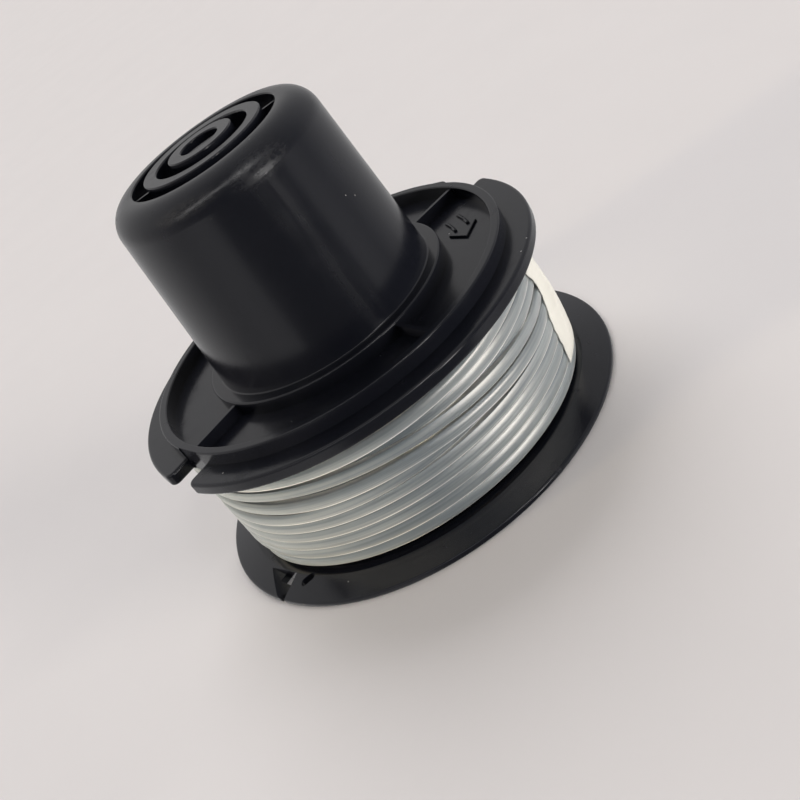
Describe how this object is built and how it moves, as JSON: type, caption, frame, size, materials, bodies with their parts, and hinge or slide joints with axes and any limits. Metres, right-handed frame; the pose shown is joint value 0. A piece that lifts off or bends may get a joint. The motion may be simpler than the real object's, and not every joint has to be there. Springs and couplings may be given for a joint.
{
  "type": "trimmer line spool",
  "caption": "Black moulded trimmer spool with a bump knob, two flanges and a hollow hub, wound with pale nylon cutting line held by a strip of tape.",
  "frame": {"origin": "centre of the lower flange's outer face, on the spool's axis, where the spool stands", "axes": "+Z along the spool's axis towards the bump knob; +X 24.5 degrees clockwise, seen from the knob, of the wider line slot"},
  "size_m": [0.0884, 0.0884, 0.0738],
  "materials": {
    "black_plastic": "satin",
    "nylon_line": "satin, slightly see-through",
    "clear_tape": "satin"
  },
  "bodies": {
    "root": {"spool_body": "black_plastic", "line_winding": "nylon_line", "end_tape": "clear_tape"}
  },
  "joints": []
}
